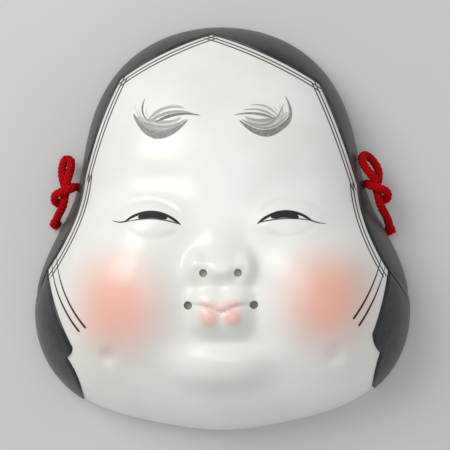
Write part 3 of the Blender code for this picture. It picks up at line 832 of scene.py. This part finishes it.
def hair_finish(crease_shade):
    """Black lacquer, a little worn, and painted lighter towards the rim as a painted reflection."""
    finish, tree, shader = new_finish("hair_black")
    spot = object_place(tree)
    cloud = noise(tree, spot, PATTERNS["hair cloud"], 4.0, 0.6)
    streak = noise(tree, spot, PATTERNS["hair streak"], 3.0)
    height = tree.nodes.new("ShaderNodeSeparateXYZ")
    tree.links.new(spot, height.inputs[0])
    # Painted reflection: the hair is painted lighter the lower it lies, towards the rim
    rim_sheen = smooth_step(tree, height.outputs[2], *HAIR_RIM_SHEEN_HEIGHTS, 0.0, HAIR_RIM_SHEEN)
    wear_and_sheen = calc(tree, "MULTIPLY_ADD", streak, 0.4, calc(tree, "ADD", cloud, rim_sheen))
    worn_and_sheen = smooth_step(tree, wear_and_sheen, *HAIR_WORN_AND_SHEEN_RANGE)
    colour = blend_colours(tree, worn_and_sheen, HAIR_BLACK, HAIR_WORN_AND_SHEEN)
    # Painted shade: a black line with a rougher finish down the crease of the hair
    line = place_group(tree, crease_shade, Place=flat_place(tree))["Ink"]
    feed(tree, shader.inputs["Base Color"], blend_colours(tree, line, colour, INK_BLACK))
    roughness = smooth_step(tree, cloud, 0.3, 0.7, *HAIR_ROUGHNESS)
    roughness = calc(tree, "MULTIPLY_ADD", line, CREASE_ROUGHENS, roughness, clamp=True)
    feed(tree, shader.inputs["Roughness"], roughness)
    grain = calc(tree, "MULTIPLY_ADD", streak, 0.3, cloud)
    feed(tree, shader.inputs["Normal"], bump(tree, grain, *HAIR_BUMP))
    shader.inputs["Specular IOR Level"].default_value = HAIR_SPECULAR
    shader.inputs["Coat Weight"].default_value = HAIR_COAT
    shader.inputs["Coat Roughness"].default_value = HAIR_COAT_ROUGHNESS
    return finish


def clay_finish(name, light, dark):
    """Bare fired clay with smears from the mould and small pits."""
    finish, tree, shader = new_finish(name)
    spot = object_place(tree)
    stretched = vector(tree, "MULTIPLY", spot, (1.0, 0.35, 1.0)).outputs[0]
    smear = noise(tree, stretched, PATTERNS["clay smear"], 5.0, 0.6, 0.6)
    pits = noise(tree, spot, PATTERNS["clay pits"], 3.0, 0.7)
    colour = blend_colours(tree, smooth_step(tree, smear, 0.35, 0.7), light, dark)
    feed(tree, shader.inputs["Base Color"], colour)
    feed(tree, shader.inputs["Roughness"], smooth_step(tree, pits, 0.3, 0.7, *CLAY_ROUGHNESS))
    relief = calc(tree, "MULTIPLY_ADD", pits, 0.35, smear)
    feed(tree, shader.inputs["Normal"], bump(tree, relief, *CLAY_BUMP))
    return finish


def cord_finish():
    """Red yarn: fine twisted fibres, painted darker in the gaps between the yarns as painted shade."""
    finish, tree, shader = new_finish("cord_red")
    spot = object_place(tree)
    fibre = noise(tree, spot, PATTERNS["yarn fibre"], 2.0, 0.6)
    patch = noise(tree, spot, PATTERNS["yarn patch"], 2.0)
    depth = tree.nodes.new("ShaderNodeAttribute")
    depth.attribute_name = "outwardness"
    fibre_light = calc(tree, "MULTIPLY_ADD", fibre, 0.5, 0.62)
    # Painted shade: darker where the yarn surface lies deeper, in the gaps
    light = calc(tree, "MULTIPLY", depth.outputs["Fac"], fibre_light, clamp=True)
    light = calc(tree, "MULTIPLY", light, calc(tree, "MULTIPLY_ADD", patch, 0.4, 0.8), clamp=True)
    feed(tree, shader.inputs["Base Color"], blend_colours(tree, light, CORD_GAP_SHADE, CORD_RED))
    shader.inputs["Roughness"].default_value = CORD_ROUGHNESS
    shader.inputs["Specular IOR Level"].default_value = CORD_SPECULAR
    shader.inputs["Sheen Weight"].default_value = 0.04
    shader.inputs["Sheen Roughness"].default_value = 0.5
    shader.inputs["Sheen Tint"].default_value = CORD_SHEEN_TINT
    feed(tree, shader.inputs["Normal"], bump(tree, fibre, *CORD_BUMP))
    return finish


def table_finish():
    finish, tree, shader = new_finish("table_pale")
    cloud = noise(tree, object_place(tree), PATTERNS["table cloud"], 3.0)
    colour = blend_colours(tree, smooth_step(tree, cloud, 0.3, 0.7), TABLE_PALE, TABLE_SHADE)
    feed(tree, shader.inputs["Base Color"], colour)
    shader.inputs["Roughness"].default_value = TABLE_ROUGHNESS
    return finish


def hairline_strokes():
    """The fine lines that follow the hairline inside it and cross at its corners, and the loose strands."""
    strokes = []
    for corners, side in ((HAIRLINE_RIGHT, 1.0), (HAIRLINE_LEFT, -1.0)):
        for (start, bow), (end, _) in zip(corners[:3], corners[1:4]):
            start = 1000.0 * np.array(start)
            end = 1000.0 * np.array(end)
            along = (end - start) / np.hypot(*(end - start))
            inward = side * np.array([along[1], -along[0]])
            for inside, half in HAIRLINE_LINES:
                first = start + inward * inside - along * LINE_OVERRUN
                last = end + inward * inside + along * LINE_OVERRUN
                strokes.append((tuple(first), tuple(last), side * 1000.0 * bow, half, 0.03, 0.03, 1.0))
    return strokes + LOOSE_STRANDS


# Modelling

def nothing_selected():
    if bpy.context.object and bpy.context.object.mode != "OBJECT":
        bpy.ops.object.mode_set(mode="OBJECT")
    bpy.ops.object.select_all(action="DESELECT")


def make_active(piece):
    nothing_selected()
    piece.select_set(True)
    bpy.context.view_layer.objects.active = piece


def cut_hole(mask, name, radius, place, along_x):
    """Drills one round hole into the wall, as deep as the drill reaches."""
    nothing_selected()
    turn = (0.0, math.pi / 2, 0.0) if along_x else (0.0, 0.0, 0.0)
    bpy.ops.mesh.primitive_cylinder_add(
        vertices=HOLE_SIDES, radius=radius, depth=CUT_REACH, location=place, rotation=turn)
    drill = bpy.context.object
    make_active(mask)
    cut = mask.modifiers.new(name, "BOOLEAN")
    cut.operation = "DIFFERENCE"
    cut.solver = "EXACT"
    cut.object = drill
    bpy.ops.object.modifier_apply(modifier=name)
    bpy.data.objects.remove(drill)


# Slots of the mask's finishes, in the order in which make_mask adds them
FACE, BROWS, EYES, HAIRLINE, HAIR, CLAY_BACK, HOLE_WALL = range(7)


def vertex_places(mesh):
    places = np.empty(len(mesh.vertices) * 3)
    mesh.vertices.foreach_get("co", places)
    return places.reshape(-1, 3)


def polygon_middles(mesh):
    middles = np.empty(len(mesh.polygons) * 3)
    mesh.polygons.foreach_get("center", middles)
    return middles.reshape(-1, 3)


def globe_steps(places, rings, sectors):
    """How many rings from the pole, and how many sectors round the axis, each place on a globe is."""
    x, y, z = places.T
    return np.arctan2(np.hypot(x, y), z) * rings / math.pi, np.arctan2(y, x) * sectors / (2.0 * math.pi)


def in_zone(x, y, zone):
    """Which places are in a zone that both sides of the face have."""
    inner, outer, low, high = zone
    return (abs(x) > inner) & (abs(x) < outer) & (y > low) & (y < high)


def choose_finishes(mesh, ring, has_hair, outer_rings):
    """Paint where there is painting, hair outside the hairline, and clay on the rim and in the hollow."""
    x, y = 1000.0 * polygon_middles(mesh)[:, :2].T
    finish = np.full(len(x), FACE)
    turn = angle_about_nose(x / 1000.0, y / 1000.0)
    inside_hairline = 1000.0 * hairline_radius(turn) - np.hypot(x, y - 1000.0 * NOSE_Y)
    finish[(inside_hairline < LINES_WITHIN) & (y > LINES_ABOVE)] = HAIRLINE
    finish[in_zone(x, y, STRAND_ZONE)] = HAIRLINE
    finish[in_zone(x, y, BROW_ZONE)] = BROWS
    finish[in_zone(x, y, EYE_ZONE)] = EYES
    finish[(ring >= FACE_RINGS * FINENESS) & has_hair] = HAIR
    finish[ring >= outer_rings] = CLAY_BACK
    mesh.polygons.foreach_set("material_index", finish)


def drill_holes(mask):
    """The pressed nostrils and mouth corners, and the cord holes through the temples."""
    for side, word in ((-1, "left"), (1, "right")):
        for label, ((px, py), radius) in (("nostril", NOSTRIL_MARK), ("mouth_corner", MOUTH_MARK)):
            bottom = face_height(side * px, py) - MARK_DEPTH
            cut_hole(mask, f"{label}_{word}", radius, (side * px, py, bottom + CUT_REACH / 2), False)
        (px, py, pz), radius = CORD_HOLE
        cut_hole(mask, f"cord_hole_{word}", radius, (side * px, py, pz), True)


def make_mask():
    """The mask from one globe: its upper rings are the outside, then come the flat rim and the hollow."""
    angle = sector_angles(FINENESS)
    shares = ring_shares(angle, FINENESS)
    inner_rings = INNER_RINGS * INNER_FINENESS
    inner_shares = np.outer(np.linspace(1.0, 0.0, inner_rings + 1), np.ones(len(angle)))
    rows = np.concatenate([outer_surface(angle, shares), inner_surface(angle, inner_shares)])
    rings = len(rows) - 1
    nothing_selected()
    bpy.ops.mesh.primitive_uv_sphere_add(segments=len(angle), ring_count=rings, radius=1.0)
    mask = bpy.context.object
    mask.name = "painted_mask"
    mesh = mask.data
    ring, sector = globe_steps(vertex_places(mesh), rings, len(angle))
    face_ring, face_sector = globe_steps(polygon_middles(mesh), rings, len(angle))
    ring = np.rint(ring).astype(int)
    sector = np.rint(sector).astype(int) % len(angle)
    mesh.vertices.foreach_set("co", rows[ring, sector].ravel())
    mesh.update()
    hair_sectors = hair_presence(angle) * np.roll(hair_presence(angle), -1) > 0.5
    has_hair = hair_sectors[np.floor(face_sector).astype(int) % len(angle)]
    choose_finishes(mesh, np.floor(face_ring), has_hair, len(shares) - 1)
    brush = make_brush_stroke()
    face_colour = make_face_colour()
    brows = paint_strokes("brow strokes", LEFT_BROW + RIGHT_BROW, brush, *BROW_BRUSH)
    eyes = paint_strokes("eye strokes", LEFT_EYE + RIGHT_EYE, brush, *EYE_BRUSH)
    lines = paint_strokes("hair lines", hairline_strokes(), brush, *LINE_BRUSH)
    crease_shade = paint_strokes("hair crease shade", CREASE_SHADE_LINES, brush, *CREASE_SHADE_BRUSH)
    for made in (
        face_finish("face_glaze", face_colour),
        face_finish("face_with_brows", face_colour, brows, BROW_GREY),
        face_finish("face_with_eyes", face_colour, eyes, INK_BLACK),
        face_finish("face_with_hair_lines", face_colour, lines, INK_BLACK),
        hair_finish(crease_shade),
        clay_finish("clay_back", CLAY, CLAY_DARK),
        # Painted shade: the clay in the holes takes mostly the darker clay colour
        clay_finish("clay_in_holes_painted_shade", CLAY_DARK, CLAY),
    ):
        mesh.materials.append(made)
    drill_holes(mask)
    paint_hole_walls(mask)
    make_active(mask)
    bpy.ops.object.shade_smooth_by_angle(angle=math.radians(SMOOTH_BELOW))
    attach(mask, "root")
    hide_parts("mask_shell")


def paint_hole_walls(mask):
    """The clay shows on the walls and floors of the holes, painted darker than at the back as painted
    shade.
    """
    marks = []
    for side in (-1, 1):
        for (px, py), radius in (NOSTRIL_MARK, MOUTH_MARK):
            marks.append((side * px, py, radius, face_height(side * px, py) - MARK_DEPTH))
    (_, py, pz), radius = CORD_HOLE
    for face in mask.data.polygons:
        x, y, z = face.center
        across = math.hypot(y - py, z - pz)
        if abs(face.normal.x) < 0.01 and across < ON_HOLE_WALL * radius and abs(x) > 0.05:
            face.material_index = HOLE_WALL
        if not in_zone(x, y, MARKS_ZONE):
            continue
        for mx, my, reach, bottom in marks:
            if math.hypot(x - mx, y - my) < ON_HOLE_WALL * reach and z > bottom - 0.001:
                if abs(face.normal.z) < 0.01 or z < bottom + 0.0001:
                    face.material_index = HOLE_WALL


def cord_route():
    """Points along the cord: tail, loop and knot outside each temple, and the slack inside."""
    right = [(-x, y, z) for x, y, z in RIGHT_TAIL_AND_LOOP + KNOT_TURN]
    return LEFT_TAIL_AND_LOOP + KNOT_TURN + SLACK + right[::-1]


def even_steps(points, step):
    """Points at even steps along the smooth curve through the route."""
    route = np.array(points)
    gaps = np.sqrt(np.linalg.norm(np.diff(route, axis=0), axis=1))
    stations = np.concatenate([[0.0], np.cumsum(gaps)])
    fine = smooth_between(stations, route, np.linspace(0.0, stations[-1], ROUTE_POINTS))
    lengths = np.concatenate([[0.0], np.cumsum(np.linalg.norm(np.diff(fine, axis=0), axis=1))])
    places = np.linspace(0.0, lengths[-1], int(lengths[-1] / step))
    return np.stack([np.interp(places, lengths, fine[:, axis]) for axis in range(3)], axis=-1), places


def carried_frames(points):
    """Two directions across the cord at each point, carried along it without twist."""
    along = np.gradient(points, axis=0)
    along /= np.linalg.norm(along, axis=1)[:, None]
    first = np.zeros_like(points)
    current = np.cross(along[0], (1.0, 0.0, 0.0))
    for number, direction in enumerate(along):
        current = current - direction * (current @ direction)
        current /= np.linalg.norm(current)
        first[number] = current
    return first, np.cross(along, first)


def make_cord():
    """The cord, braided from eight yarns, four each way, with frayed ends."""
    points, places = even_steps(cord_route(), BRAID_STEP)
    first, second = carried_frames(points)
    length = places[-1]
    from_end = np.minimum(places, length - places)
    fray = FRAY_SPREAD * ramp(from_end, FRAY_LENGTH, 0.0)
    nothing_selected()
    braid = bpy.data.curves.new("braided_cord", "CURVE")
    braid.dimensions = "3D"
    braid.bevel_depth = YARN_RADIUS
    braid.bevel_resolution = 1
    braid.use_fill_caps = True
    turns = 2.0 * math.pi * places / BRAID_PITCH
    for way in (1.0, -1.0):
        weave = way * YARN_WEAVE * np.cos(YARNS_EACH_WAY * turns)
        for number in range(YARNS_EACH_WAY):
            turn = way * turns + 2.0 * math.pi * number / YARNS_EACH_WAY
            out = (YARN_MIDDLE + weave + fray)[:, None]
            line = points + out * (np.cos(turn)[:, None] * first + np.sin(turn)[:, None] * second)
            yarn = braid.splines.new("POLY")
            yarn.points.add(len(line) - 1)
            yarn.points.foreach_set("co", np.column_stack([line, np.ones(len(line))]).ravel())
    cord = bpy.data.objects.new("braided_cord", braid)
    bpy.context.scene.collection.objects.link(cord)
    make_active(cord)
    bpy.ops.object.convert(target="MESH")
    cord = bpy.context.object
    bpy.ops.object.shade_smooth()
    mesh = cord.data
    places = vertex_places(mesh)
    sides = len(places) // (2 * YARNS_EACH_WAY * len(points))
    middles = np.tile(np.repeat(points, sides, axis=0), (2 * YARNS_EACH_WAY, 1))
    if len(middles) == len(places):
        # How far out each point of a yarn lies; it sets the painted shade in the gaps
        reach = np.linalg.norm(places - middles, axis=1)
        outwardness = ramp(reach / CORD_THICKNESS, *YARN_DEPTHS)
    else:
        outwardness = np.full(len(places), 0.8)
    mark = mesh.attributes.new("outwardness", "FLOAT", "POINT")
    mark.data.foreach_set("value", outwardness)
    mesh.materials.append(cord_finish())
    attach(cord, "root")
    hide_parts("hanging_cord")


set_camera()
make_cord()
light_the_table()
lay_table()
make_mask()
